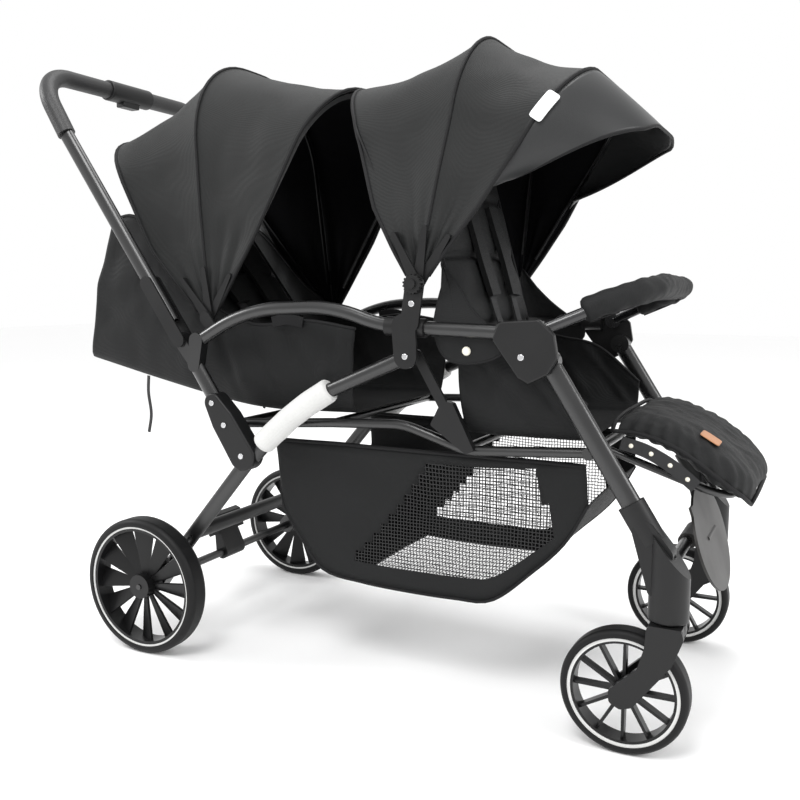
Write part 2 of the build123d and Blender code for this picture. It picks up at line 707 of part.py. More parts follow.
finish("front_backrest", backrest(front_back_foot, 105.5, 470, 172))
finish("rear_backrest", backrest(rear_back_foot, 127.0, 400, 172))

# leg rest: pad over a tube loop that turns on the front cross tube of the seat frame
loop_y = 130.0
pad_r = 10.0
leg_rest_tip = (604.0, 362.0)
with BuildPart() as leg_loop:
    add(tube([at(seat_front, -loop_y), at(leg_rest_tip, -loop_y), at(leg_rest_tip, loop_y), at(seat_front, loop_y)],
             [50.0, 50.0], 6.0))
    for y in (-loop_y, loop_y):
        add(pin(seat_front, y - 9, y + 9, seat_tube_r + 4))
    add(pin(seat_front, -loop_y - 20, loop_y + 20, seat_tube_r + run_clearance), mode=Mode.SUBTRACT)
finish("leg_rest_loop", leg_loop.part)

with BuildPart() as leg_pad:
    with BuildSketch(side_plane(160)):
        with BuildLine():
            Polyline((441, 447), (443, 474), (472, 472), (563, 441), (616, 405), (640, 372), (634, 350),
                     (612, 345), close=True)
        make_face()
        fillet(vertices().sort_by(Axis.X)[-4:], 6)
    extrude(amount=320)
    with BuildSketch(Plane.XY.offset(300)):
        with Locations((441 + 200 / 2, 0)):
            Rectangle(200, 320)
        fillet(vertices().group_by(Axis.X)[-1], 90)
    extrude(amount=220, mode=Mode.INTERSECT)
    add(leg_loop.part, mode=Mode.SUBTRACT)
finish("leg_rest_pad", leg_pad.part.solids().sort_by(SortBy.VOLUME)[-1])

# ---------------------------------------------------------------- bumper bar
bumper_tip = (488.0, 666.0)
bumper_y = 231.0
bumper_knee = along(bumper_hinge, bumper_tip, 60)
bumper_points = [at(bumper_hinge, -bumper_y), at(bumper_knee, -bumper_y + 24), at(bumper_tip, -165),
                 at(bumper_tip, 165), at(bumper_knee, bumper_y - 24), at(bumper_hinge, bumper_y)]
bumper_tube_r = 9.0
with BuildPart() as bumper:
    add(tube(bumper_points, [50, 100, 100, 50], bumper_tube_r))
    for y in (-bumper_y, bumper_y):
        add(pin(bumper_hinge, y - 9, y + 9, 14))
    add(pin(bumper_hinge, -bumper_y - 20, bumper_y + 20, pin_r + run_clearance), mode=Mode.SUBTRACT)
finish("bumper_tube", bumper.part)

cover_foot = along(bumper_knee, bumper_tip, 4)
share = span(bumper_knee, cover_foot) / span(bumper_knee, bumper_tip)
cover_y = bumper_y - 24 - share * (bumper_y - 24 - 165)
cover_points = [at(cover_foot, -cover_y), at(bumper_tip, -165), at(bumper_tip, 165), at(cover_foot, cover_y)]
finish("bumper_cover", tube(cover_points, [100, 100], 19.0, bumper_tube_r))

# ---------------------------------------------------------------- basket
basket_half = 182.0
basket_outline = [(-145, 402), (-143, 285), (-56, 170), (104, 162), (255, 164), (372, 274), (412, 372), (404, 404)]
with BuildPart() as basket:
    with BuildSketch(side_plane(basket_half)):
        with BuildLine():
            Polyline(*basket_outline, close=True)
        make_face()
    extrude(amount=2 * basket_half)
    with BuildSketch(side_plane(basket_half - fabric)):
        with BuildLine():
            Polyline((-141, 450), (-140, 286), (-54.5, 173), (104, 165), (254, 167), (369, 276), (409, 374),
                     (401, 450), close=True)
        make_face()
    extrude(amount=2 * (basket_half - fabric), mode=Mode.SUBTRACT)
finish("basket", basket.part)

print(len(parts), "pieces")
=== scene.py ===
"""Looks of the tandem stroller: materials for the CAD pieces and detailed fabric over its soft ones.

Metres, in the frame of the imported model: +X forward, +Y left, +Z up, origin on the floor.
"""

import json
from math import atan2, cos, hypot, pi, radians, sin

import bmesh
import bpy
import numpy as np
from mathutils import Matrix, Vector, noise


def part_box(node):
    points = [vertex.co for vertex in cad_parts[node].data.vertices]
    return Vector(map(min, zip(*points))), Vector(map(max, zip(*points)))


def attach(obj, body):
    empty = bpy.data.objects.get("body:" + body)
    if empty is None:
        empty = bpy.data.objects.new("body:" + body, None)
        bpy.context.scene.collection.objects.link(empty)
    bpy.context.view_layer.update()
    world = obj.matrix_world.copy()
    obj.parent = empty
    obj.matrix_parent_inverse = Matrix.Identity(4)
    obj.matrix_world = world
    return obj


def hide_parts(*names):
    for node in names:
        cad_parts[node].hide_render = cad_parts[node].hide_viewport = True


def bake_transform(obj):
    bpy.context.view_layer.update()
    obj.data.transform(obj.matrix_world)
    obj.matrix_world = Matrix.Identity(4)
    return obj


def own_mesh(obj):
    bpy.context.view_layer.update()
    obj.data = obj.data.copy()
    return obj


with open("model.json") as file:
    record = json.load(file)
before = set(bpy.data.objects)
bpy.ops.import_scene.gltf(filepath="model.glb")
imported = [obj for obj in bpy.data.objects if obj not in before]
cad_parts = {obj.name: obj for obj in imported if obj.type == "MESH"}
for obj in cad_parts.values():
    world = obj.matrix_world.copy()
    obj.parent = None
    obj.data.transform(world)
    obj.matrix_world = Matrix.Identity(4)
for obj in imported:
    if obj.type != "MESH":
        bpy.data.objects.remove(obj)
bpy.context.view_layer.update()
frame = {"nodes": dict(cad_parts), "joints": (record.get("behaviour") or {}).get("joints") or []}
nodes = frame["nodes"]
hinge = {joint["name"]: Vector(joint["pos_m"]) for joint in frame["joints"] if "pos_m" in joint}
scene = bpy.context.scene


# ---------------------------------------------------------------- camera, light and floor
CAMERA_PLACE = (0.73697, -1.46671, 0.66411)
CAMERA_AZIMUTH, CAMERA_ELEVATION = 0.460487, 0.124634
SENSOR, FOCAL_LENGTH = 36.0, 40.17
SKY_STRENGTH = 1.0
AIM = Vector((0, 0, 0.5))
# name, place, size and power of each soft lamp
LAMPS = (("key", (0.2, -2.2, 3.0), 1.4, 55.0), ("rim", (-2.6, -0.9, 1.9), 1.0, 30.0),
         ("front", (2.8, -0.6, 1.6), 1.2, 30.0), ("top", (0.0, 0.3, 3.2), 1.6, 40.0))
FLOOR_REACH = 12.0


def camera_and_light():
    """The camera stands in front and to the right of the stroller, above its seats, as a catalogue view."""
    turn, rise = CAMERA_AZIMUTH, CAMERA_ELEVATION
    back = Vector((sin(turn) * cos(rise), -cos(turn) * cos(rise), sin(rise)))
    lens = bpy.data.cameras.new("camera")
    lens.sensor_width = SENSOR
    lens.lens = FOCAL_LENGTH
    camera = bpy.data.objects.new("camera", lens)
    camera.location = CAMERA_PLACE
    camera.rotation_euler = (-back).to_track_quat("-Z", "Y").to_euler()
    scene.collection.objects.link(camera)
    scene.camera = camera

    scene.view_settings.view_transform = "Standard"
    world = bpy.data.worlds.new("studio")
    world.use_nodes = True
    world.node_tree.nodes["Background"].inputs["Color"].default_value = (1.0, 1.0, 1.0, 1)
    world.node_tree.nodes["Background"].inputs["Strength"].default_value = SKY_STRENGTH
    scene.world = world
    for name, place, size, power in LAMPS:
        lamp = bpy.data.lights.new(name, "AREA")
        lamp.shape = "DISK"
        lamp.size = size
        lamp.energy = power
        light = bpy.data.objects.new(name, lamp)
        light.location = place
        light.rotation_euler = (AIM - Vector(place)).to_track_quat("-Z", "Y").to_euler()
        scene.collection.objects.link(light)

    mesh = bpy.data.meshes.new("floor")
    corners = [(x * FLOOR_REACH, y * FLOOR_REACH, 0) for x, y in ((-1, -1), (1, -1), (1, 1), (-1, 1))]
    mesh.from_pydata(corners, [], [(0, 1, 2, 3)])
    floor = bpy.data.objects.new("floor", mesh)
    scene.collection.objects.link(floor)
    paper = bpy.data.materials.new("floor_paper")
    paper.use_nodes = True
    shader = paper.node_tree.nodes["Principled BSDF"]
    shader.inputs["Base Color"].default_value = (0.97, 0.97, 0.97, 1)
    shader.inputs["Roughness"].default_value = 0.9
    mesh.materials.append(paper)


# ---------------------------------------------------------------- materials
def material(name, base, rough, grain=220.0, mottle=0.15, bump=0.15, metallic=0.0, specular=0.5, sheen=0.0,
             coat=0.0, weave=0.0, patches=9.0, cells=0.0, net=0.0):
    """A procedural surface: broad mottling in colour and roughness, and a fine grain in its bump.

    weave is the thread spacing in metres, cells the size of leather pebbles, net the pitch of open mesh.
    patches and grain are the frequencies of the mottling and of the grain.
    """
    made = bpy.data.materials.new(name)
    made.use_nodes = True
    tree = made.node_tree
    link = tree.links.new
    shader = tree.nodes["Principled BSDF"]
    shader.inputs["Metallic"].default_value = metallic
    shader.inputs["Specular IOR Level"].default_value = specular
    shader.inputs["Sheen Weight"].default_value = sheen
    shader.inputs["Sheen Roughness"].default_value = 0.5
    shader.inputs["Coat Weight"].default_value = coat
    shader.inputs["Coat Roughness"].default_value = 0.25
    place = tree.nodes.new("ShaderNodeTexCoord").outputs["Object"]

    def noise_map(scale, detail):
        node = tree.nodes.new("ShaderNodeTexNoise")
        node.inputs["Scale"].default_value = scale
        node.inputs["Detail"].default_value = detail
        link(place, node.inputs["Vector"])
        return node.outputs["Fac"]

    def to_range(value, low, high):
        node = tree.nodes.new("ShaderNodeMapRange")
        node.inputs["From Min"].default_value = 0.3
        node.inputs["From Max"].default_value = 0.7
        node.inputs["To Min"].default_value = low
        node.inputs["To Max"].default_value = high
        link(value, node.inputs["Value"])
        return node.outputs["Result"]

    def math(kind, a, b):
        node = tree.nodes.new("ShaderNodeMath")
        node.operation = kind
        for socket, value in ((node.inputs[0], a), (node.inputs[1], b)):
            if isinstance(value, (int, float)):
                socket.default_value = value
            else:
                link(value, socket)
        return node.outputs[0]

    def threads(direction, pitch):
        node = tree.nodes.new("ShaderNodeTexWave")
        node.bands_direction = direction
        node.inputs["Scale"].default_value = 0.314 / pitch
        node.inputs["Distortion"].default_value = 0.6
        node.inputs["Detail Scale"].default_value = 1.5
        link(place, node.inputs["Vector"])
        return node.outputs["Fac"]

    broad, fine = noise_map(patches, 4.0), noise_map(grain, 3.0)
    blend = math("ADD", math("MULTIPLY", broad, 0.6), math("MULTIPLY", fine, 0.4))
    ramp = tree.nodes.new("ShaderNodeMix")
    ramp.data_type = "RGBA"
    ramp.inputs["A"].default_value = (*[channel * (1 - mottle) for channel in base], 1)
    ramp.inputs["B"].default_value = (*[min(1.0, channel * (1 + mottle)) for channel in base], 1)
    link(to_range(blend, 0.0, 1.0), ramp.inputs["Factor"])
    link(ramp.outputs["Result"], shader.inputs["Base Color"])
    link(to_range(broad, rough - 0.06, min(1.0, rough + 0.06)), shader.inputs["Roughness"])
    height = fine
    if weave:
        warp = math("MULTIPLY", threads("X", weave), threads("Z", weave))
        height = math("ADD", math("MULTIPLY", fine, 0.5), math("ADD", warp, threads("Y", weave)))
    if cells:
        pebble = tree.nodes.new("ShaderNodeTexVoronoi")
        pebble.inputs["Scale"].default_value = 1.0 / cells
        link(place, pebble.inputs["Vector"])
        height = math("ADD", math("MULTIPLY", fine, 0.4), pebble.outputs["Distance"])
    relief = tree.nodes.new("ShaderNodeBump")
    relief.inputs["Strength"].default_value = bump
    relief.inputs["Distance"].default_value = 0.0006
    link(height, relief.inputs["Height"])
    link(relief.outputs["Normal"], shader.inputs["Normal"])
    if net:
        open_cell = tree.nodes.new("ShaderNodeTexVoronoi")
        open_cell.feature = "DISTANCE_TO_EDGE"
        open_cell.inputs["Scale"].default_value = 1.0 / net
        open_cell.inputs["Randomness"].default_value = 0.15
        open_cell.voronoi_dimensions = "2D"
        parts = tree.nodes.new("ShaderNodeSeparateXYZ")
        flat = tree.nodes.new("ShaderNodeCombineXYZ")
        link(place, parts.inputs[0])
        link(parts.outputs[0], flat.inputs[0])
        link(math("ADD", parts.outputs[1], parts.outputs[2]), flat.inputs[1])
        link(flat.outputs[0], open_cell.inputs["Vector"])
        link(math("LESS_THAN", open_cell.outputs["Distance"], 0.13), shader.inputs["Alpha"])
    return made


# fabrics
# charcoal_cloth and hood_cloth_painted_lighter are one fabric in two shades. The hoods' copy has a lighter
# base colour and the seats' copy a darker one: painted light on the hoods on top, painted shade on the lower
# seats
charcoal = material("charcoal_cloth", (0.011, 0.0113, 0.0116), 0.6, grain=420, mottle=0.22, bump=0.35,
                    sheen=0.02, weave=0.0016, specular=0.14, patches=7)
charcoal_painted_lit = material("hood_cloth_painted_lighter", (0.015, 0.0155, 0.0155), 0.55, grain=420, mottle=0.18, bump=0.3,
                          sheen=0.02, weave=0.0016, specular=0.16, patches=6)
# the hoods' lining cloth, made much darker and almost unreflecting: painted shade inside the hoods
painted_shade_lining = material("painted_shade_lining_cloth", (0.004, 0.004, 0.0045), 0.85, grain=380, mottle=0.2, bump=0.2,
                  weave=0.002, specular=0.03)
piping = material("piping_cloth", (0.007, 0.007, 0.0075), 0.6, grain=600, mottle=0.25, bump=0.3,
                  weave=0.0011, specular=0.2)
webbing = material("webbing", (0.014, 0.014, 0.015), 0.7, grain=500, mottle=0.2, bump=0.6, weave=0.0014)
visor_cloth = material("visor_cloth", (0.020, 0.0205, 0.021), 0.42, grain=300, mottle=0.12, bump=0.18,
                       coat=0.04, cells=0.0016, specular=0.3)
wrap_cloth = material("grey_wrap", (0.55, 0.55, 0.54), 0.85, grain=300, mottle=0.07, bump=0.35, sheen=0.3,
                      weave=0.0018)
leather = material("grip_leather", (0.013, 0.013, 0.0135), 0.5, grain=600, mottle=0.2, bump=0.45,
                   cells=0.0022)
label_white = material("label_white", (0.78, 0.79, 0.79), 0.7, grain=500, mottle=0.04, bump=0.2,
                       weave=0.0008)
patch_tan = material("patch_tan", (0.42, 0.2, 0.1), 0.55, grain=500, mottle=0.18, bump=0.35, cells=0.002)
net_black = material("net_black", (0.006, 0.006, 0.0065), 0.7, grain=500, mottle=0.1, bump=0.1, net=0.0058)
# metal, plastic and rubber
tube_paint = material("satin_black_tube", (0.005, 0.005, 0.0053), 0.3, grain=900, mottle=0.15, bump=0.05,
                      specular=0.55, coat=0.25, patches=14)
plastic = material("moulded_black", (0.007, 0.007, 0.0073), 0.42, grain=1100, mottle=0.15, bump=0.18,
                   patches=18, specular=0.3)
gloss = material("gloss_black", (0.009, 0.009, 0.01), 0.22, grain=500, mottle=0.1, bump=0.03, coat=0.3)
rim_plastic = material("rim_black", (0.005, 0.005, 0.0053), 0.34, grain=900, mottle=0.15, bump=0.1,
                       specular=0.3)
ring_paint = material("ring_grey", (0.62, 0.62, 0.61), 0.4, grain=700, mottle=0.06, bump=0.06)
tyre_rubber = material("tyre_foam", (0.006, 0.006, 0.0063), 0.5, grain=700, mottle=0.2, bump=0.25,
                       patches=25, specular=0.2)
steel = material("steel", (0.55, 0.55, 0.56), 0.28, grain=800, mottle=0.1, bump=0.08, metallic=1.0)
rest_plastic = material("footrest_plastic", (0.022, 0.0205, 0.019), 0.5, grain=800, mottle=0.12, bump=0.2)
cream = material("snap_cream", (0.75, 0.72, 0.62), 0.35, grain=500, mottle=0.05, bump=0.05)


def paint_cad():
    """Every CAD piece that stays visible gets its detailed material."""
    paints = {
        tube_paint: "side_rails lower_links rear_uprights handle_tubes front_leg_tubes rear_leg_tubes"
                    " seat_frame front_cross_tube push_bar leg_rest_loop rear_axle_bar",
        gloss: "bumper_tube",
        plastic: "joint_housings mid_plates front_brackets seat_struts caster_housings caster_fork_right"
                 " caster_fork_left rear_crossbar brake_pedal fold_housing fold_button hood_hubs"
                 " fold_plates front_hood_rear_bow front_hood_mid_bow front_hood_front_bow"
                 " rear_hood_rear_bow rear_hood_mid_bow rear_hood_front_bow",
        rim_plastic: "front_rim_right front_rim_left rear_rim_right rear_rim_left",
        ring_paint: "front_ring_right front_ring_left rear_ring_right rear_ring_left",
        tyre_rubber: "front_tyre_right front_tyre_left rear_tyre_right rear_tyre_left",
        steel: "frame_rivets",
        rest_plastic: "footrest",
        leather: "handle_grips",
    }
    for paint, names in paints.items():
        for name in names.split():
            mesh = nodes[name].data
            mesh.materials.clear()
            mesh.materials.append(paint)
            mesh.polygons.foreach_set("material_index", [0] * len(mesh.polygons))


# ---------------------------------------------------------------- mesh helpers
def link_mesh(name, points, faces, body, paint, smooth=True):
    mesh = bpy.data.meshes.new(name)
    mesh.from_pydata([tuple(map(float, point)) for point in points], [], faces)
    mesh.validate()
    piece = bpy.data.objects.new(name, mesh)
    scene.collection.objects.link(piece)
    mesh.materials.append(paint)
    for face in mesh.polygons:
        face.use_smooth = smooth
    if body:
        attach(piece, body)
    return piece


def grid_faces(rows, columns, wrap=False):
    """The quads of a grid of points; wrap joins its last column to its first."""
    faces = []
    for i in range(rows - 1):
        for j in range(columns if wrap else columns - 1):
            k = (j + 1) % columns
            faces.append((i * columns + j, i * columns + k, (i + 1) * columns + k, (i + 1) * columns + j))
    return faces


def grid_rim(rows, columns):
    """The numbers of a grid's outer points, in order round it."""
    return ([i * columns for i in range(rows)] + [(rows - 1) * columns + j for j in range(1, columns)]
            + [i * columns + columns - 1 for i in range(rows - 2, -1, -1)] + list(range(columns - 2, 0, -1)))


def pad_faces(rows, columns):
    """The faces of a pad between two grids of points, one after the other, closed round the rim."""
    shift = rows * columns
    flat = grid_faces(rows, columns)
    faces = flat + [tuple(k + shift for k in face[::-1]) for face in flat]
    rim = grid_rim(rows, columns)
    return faces + [(b, a, a + shift, b + shift) for a, b in zip(rim, rim[1:] + rim[:1])]


def end_caps(count, sides):
    """The two end faces of a tube of count rings."""
    last = (count - 1) * sides
    return [tuple(range(sides))[::-1], tuple(last + k for k in range(sides))]


def settle(piece):
    """Replaces the piece's mesh by what its modifiers make of it."""
    bpy.context.view_layer.update()
    graph = bpy.context.evaluated_depsgraph_get()
    made = bpy.data.meshes.new_from_object(piece.evaluated_get(graph))
    piece.modifiers.clear()
    piece.data = made
    for face in made.polygons:
        face.use_smooth = True
    return piece


def cloth_sheet(name, points, body, paint, thick=0.0022, levels=1, offset=-1.0):
    """A sheet of cloth through a grid of points, given its thickness and smoothed."""
    rows, columns = points.shape[:2]
    piece = link_mesh(name, points.reshape(-1, 3), grid_faces(rows, columns), body, paint)
    if levels:
        smooth = piece.modifiers.new("smooth", "SUBSURF")
        smooth.levels = smooth.render_levels = levels
    shell = piece.modifiers.new("shell", "SOLIDIFY")
    shell.thickness = thick
    shell.offset = offset
    return settle(piece)


def tube_along(name, path, radius, body, paint, sides=8, closed=False):
    """A thin round cord along a path of points; radius is one value or one for each point."""
    path = [Vector(point) for point in path]
    count = len(path)
    points = []
    normal = None
    for i, here in enumerate(path):
        ahead = path[(i + 1) % count] if closed or i < count - 1 else here
        behind = path[i - 1] if closed or i else here
        run = (ahead - behind).normalized()
        if normal is None:
            normal = run.orthogonal().normalized()
        normal = (normal - run * normal.dot(run)).normalized()
        side = run.cross(normal)
        size = radius[i] if isinstance(radius, (list, tuple)) else radius
        for k in range(sides):
            turn = 2 * pi * k / sides
            points.append(here + normal * cos(turn) * size + side * sin(turn) * size)
    faces = grid_faces(count, sides, wrap=True)
    if closed:
        faces += [((count - 1) * sides + k, (count - 1) * sides + (k + 1) % sides, (k + 1) % sides, k)
                  for k in range(sides)]
    else:
        faces += end_caps(count, sides)
    return link_mesh(name, points, faces, body, paint)


def curve_through(points, count):
    """Evenly spaced points on a smooth Catmull-Rom curve through the given ones."""
    points = np.array(points, float)
    padded = np.vstack([2 * points[0] - points[1], points, 2 * points[-1] - points[-2]])
    dense = []
    for i in range(1, len(padded) - 2):
        a, b, c, d = padded[i - 1:i + 3]
        for t in np.linspace(0, 1, 24, endpoint=False):
            dense.append(0.5 * ((2 * b) + (c - a) * t + (2 * a - 5 * b + 4 * c - d) * t ** 2
                                + (3 * b - a - 3 * c + d) * t ** 3))
    dense.append(points[-1])
    dense = np.array(dense)
    return resample(dense, count)


def resample(points, count):
    """Evenly spaced points along a broken line."""
    points = np.array(points, float)
    steps = np.r_[0, np.cumsum(np.linalg.norm(np.diff(points, axis=0), axis=1))]
    wanted = np.linspace(0, steps[-1], count)
    return np.array([np.interp(wanted, steps, points[:, k]) for k in range(points.shape[1])]).T


def crease(point, scale, amount, seed=0.0):
    """A smooth wrinkle height at a place."""
    return amount * noise.noise(Vector(point) * scale + Vector((seed, seed * 0.7, seed * 1.3)))


def swell(piece, pressure=4.0, cap=0.008, voxel=0.006, frames=20):
    """Blows a slack closed form up as cloth, so that it wrinkles as a stuffed pad does."""
    start = piece.modifiers.new("remesh", "REMESH")
    start.mode = "VOXEL"
    start.voxel_size = voxel
    settle(piece)
    before = np.array([vertex.co[:] for vertex in piece.data.vertices])
    cloth = piece.modifiers.new("cloth", "CLOTH")
    cloth.settings.use_pressure = True
    cloth.settings.uniform_pressure_force = pressure
    cloth.settings.quality = 4
    cloth.settings.mass = 0.2
    cloth.settings.tension_stiffness = cloth.settings.compression_stiffness = 12
    cloth.settings.shear_stiffness = 6
    cloth.settings.bending_stiffness = 0.6
    cloth.settings.effector_weights.gravity = 0
    cloth.collision_settings.use_collision = False
    cloth.point_cache.frame_start = 1
    cloth.point_cache.frame_end = frames
    for step in range(1, frames + 1):
        scene.frame_set(step)
    settle(piece)
    scene.frame_set(1)
    moved = np.array([vertex.co[:] for vertex in piece.data.vertices]) - before
    length = np.linalg.norm(moved, axis=1)
    scale = np.minimum(1.0, cap / np.maximum(length, 1e-9))
    for vertex, place in zip(piece.data.vertices, before + moved * scale[:, None]):
        vertex.co = place
    return piece


def reshape(piece, move):
    """Moves every vertex by a function of its place and normal."""
    mesh = piece.data
    normals = [vertex.normal.copy() for vertex in mesh.vertices]
    for vertex, normal in zip(mesh.vertices, normals):
        vertex.co = vertex.co + move(vertex.co.copy(), normal)
    mesh.update()
    return piece


# ---------------------------------------------------------------- hoods
# each bow: its angle above the x axis, its height from the hinge and its corner radius
FRONT_BOWS = ((117.5, 0.366, 0.125), (82.0, 0.388, 0.135), (55.5, 0.388, 0.130))
REAR_BOWS = ((129.0, 0.424, 0.120), (96.0, 0.458, 0.170), (59.5, 0.448, 0.130))
HOOD_BASE = {"front_hood": 0.234, "rear_hood": 0.209}
HOOP_SHOULDER = 0.197
HOOD_FOOT = 0.016
# how far the cloth behind the first bow hangs out, low down
HOOD_SKIRT = {"front_hood": 0.022, "rear_hood": 0.034}
VISOR_FOOT, VISOR_REACH = 0.175, 0.120


def hoop(base, height, corner, count, grow=0.0):
    """Points (y, reach) of a hoop from its right foot over the top to its left foot."""
    shoulder, top = HOOP_SHOULDER + grow, height + grow
    lean = (base + shoulder) / 2 + 0.002
    right = [(-base, HOOD_FOOT), (-base, 0.060), (-lean, 0.42 * height), (-shoulder, top - corner)]
    arc = [(-shoulder + corner * (1 - cos(turn)), top - corner + corner * sin(turn))
           for turn in np.linspace(0, pi / 2, 14)[1:]]
    half = right + arc
    path = half + [(-y, reach) for y, reach in half[::-1]]
    return resample(path, count)


def on_bow(centre, angle, flat):
    """The 3-D place of a hoop point on the bow plane that leans at an angle above the x axis."""
    turn = radians(angle)
    return Vector((centre.x + flat[1] * cos(turn), flat[0], centre.z + flat[1] * sin(turn)))


def hood_panel(name, centre, base, back, front, seed, spread):
    """One gore of a hood between two bows: it follows the bows, and dips and wrinkles between them.

    spread is how far the cloth's own edge stands behind the first bow and ahead of the second, low down.
    """
    (angle_a, height_a, corner_a), (angle_b, height_b, corner_b) = back, front
    sag, count, rows, crown = 0.013, 61, 17, 0.002
    hoops = hoop(base, height_a, corner_a, count, crown), hoop(base, height_b, corner_b, count, crown)
    points = np.zeros((rows, count, 3))
    for i, t in enumerate(np.linspace(0, 1, rows)):
        for j in range(count):
            a, b = on_bow(centre, angle_a, hoops[0][j]), on_bow(centre, angle_b, hoops[1][j])
            fuller = (hoops[0][j][1] / height_a) * 1.25
            slack = max(0.0, 1 - abs(fuller - 0.45) / 0.55) if fuller > 0.45 else 0.55 + fuller
            a.x -= spread[0] * slack * (1 - t)
            b.x += spread[1] * slack
            place = a.lerp(b, t)
            inward = Vector((centre.x, 0, centre.z + 0.12)) - place
            inward.normalize()
            dip = 4 * t * (1 - t)
            top = min(1.0, (place - Vector((centre.x, place.y, centre.z))).length / height_a)
            place += inward * dip * sag * (0.25 + 0.75 * top)
            gather = max(0.0, 1 - top / 0.45)
            ripple = sin(t * 5.5 * pi + seed) * 0.0050 * gather * dip
            place.y += ripple * (1 if place.y > 0 else -1)
            place += inward * dip * (crease(place, 11, 0.006, seed) + crease(place, 26, 0.0028, seed + 4))
            points[i, j] = place
    # the gore's outer face takes the lighter copy of the charcoal cloth: painted light on the hood top
    piece = cloth_sheet(name, points, None, charcoal_painted_lit, thick=0.0018, levels=1)
    piece.data.materials.append(painted_shade_lining)
    # faces turned toward the inside of the hood take the darkened lining cloth: painted shade inside the hood
    inner = Vector((centre.x, 0, centre.z + 0.12))
    for face in piece.data.polygons:
        if face.normal.dot(inner - face.center) > 0:
            face.material_index = 1
    return piece, points


def edge_roll(name, points, radius, body, lift=0.0012):
    """Piping or a bound edge along a row of cloth points, stood slightly proud."""
    middle = Vector(np.mean(points, axis=0))
    path = [Vector(p) + (Vector(p) - middle).normalized() * lift for p in points]
    return tube_along(name, path, radius, body, piping)


def hoods():
    """Both hoods: a gore behind and a gore ahead of the middle bow, with piping along the bows."""
    for label, centre, bows in (("front_hood", hinge["front_hood_fold"], FRONT_BOWS),
                                ("rear_hood", hinge["rear_hood_fold"], REAR_BOWS)):
        base = HOOD_BASE[label]
        back, back_points = hood_panel(f"{label}_back_gore", centre, base, bows[0], bows[1], 1.7,
                                       spread=(HOOD_SKIRT[label], 0))
        lead, lead_points = hood_panel(f"{label}_front_gore", centre, base, bows[1], bows[2], 4.1,
                                       spread=(0, 0.012))
        edge_roll(f"{label}_rear_hem", back_points[0], 0.0032, "chassis")
        edge_roll(f"{label}_ridge_piping", back_points[-1], 0.0028, f"{label}_mid", lift=0.0022)
        edge_roll(f"{label}_front_hem", lead_points[-1], 0.0034, f"{label}_front")
        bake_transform(back)
        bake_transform(lead)
        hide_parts(f"{label}_back_cloth")
        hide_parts(f"{label}_front_cloth")


def visor():
    """The stiff peak in front of the front hood: smooth on top, bound at its free edge."""
    centre = hinge["front_hood_fold"]
    angle, height, corner = FRONT_BOWS[-1]
    turn = radians(angle)
    ahead = Vector((sin(turn), 0, -cos(turn)))
    columns, rows, grow = 49, 11, 0.0015
    points = np.zeros((rows, columns, 3))
    for i, t in enumerate(np.linspace(0, 1, rows)):
        side = HOOP_SHOULDER + grow - 0.022 * t ** 1.5
        top = height + grow - 0.018 * t ** 1.35
        bottom = VISOR_FOOT + 0.020 * t
        half = [(-side - 0.008 * (1 - t), bottom), (-side, top - corner)]
        half += [(-side + corner * (1 - cos(a)), top - corner + corner * sin(a))
                 for a in np.linspace(0, pi / 2, 12)[1:]]
        path = resample(half + [(-y, r) for y, r in half[::-1]], columns)
        for j in range(columns):
            across = 1 - abs(j / (columns - 1) * 2 - 1)
            reach = 0.004 + VISOR_REACH * t * min(1.0, 0.05 + 1.05 * (across / 0.72) ** 0.85)
            points[i, j] = on_bow(centre, angle, path[j]) + ahead * reach
    piece = cloth_sheet("visor_shell", points, "front_hood_front", visor_cloth, thick=0.0026)
    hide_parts("visor")
    edge_roll("visor_binding", points[-1], 0.0026, "front_hood_front")
    flat = hoop(HOOD_BASE["front_hood"], height, corner, 300, 0.003)
    start = 78
    spot = np.zeros((4, 8, 3))
    for i in range(4):
        for j in range(8):
            spot[i, j] = on_bow(centre, angle, flat[start + j * 2]) + ahead * (-0.006 + 0.007 * i)
            spot[i, j][1] -= 0.0045
            spot[i, j][2] += 0.0020
    label = cloth_sheet("blank_label", spot, "front_hood_front", label_white, thick=0.0014, offset=1.0)


# ---------------------------------------------------------------- seats
SEAT_HALF = 0.186
BACK_HALF, BACK_THICK = 0.168, 0.030
BACK_FOOT = 0.020
BACK_LEAN = {"front": 105.5, "rear": 127.0}


def back_axes(label):
    """A backrest's hinge point, the direction up along it and the direction it faces."""
    turn = radians(BACK_LEAN[label])
    up, front = Vector((cos(turn), 0, sin(turn))), Vector((sin(turn), 0, -cos(turn)))
    return hinge[f"{label}_back_recline"], up, front


def station_curve(points, count):
    """Evenly spaced side-plan points, in metres, on a curve through points given in millimetres."""
    return curve_through([(x / 1000, z / 1000) for x, z in points], count)


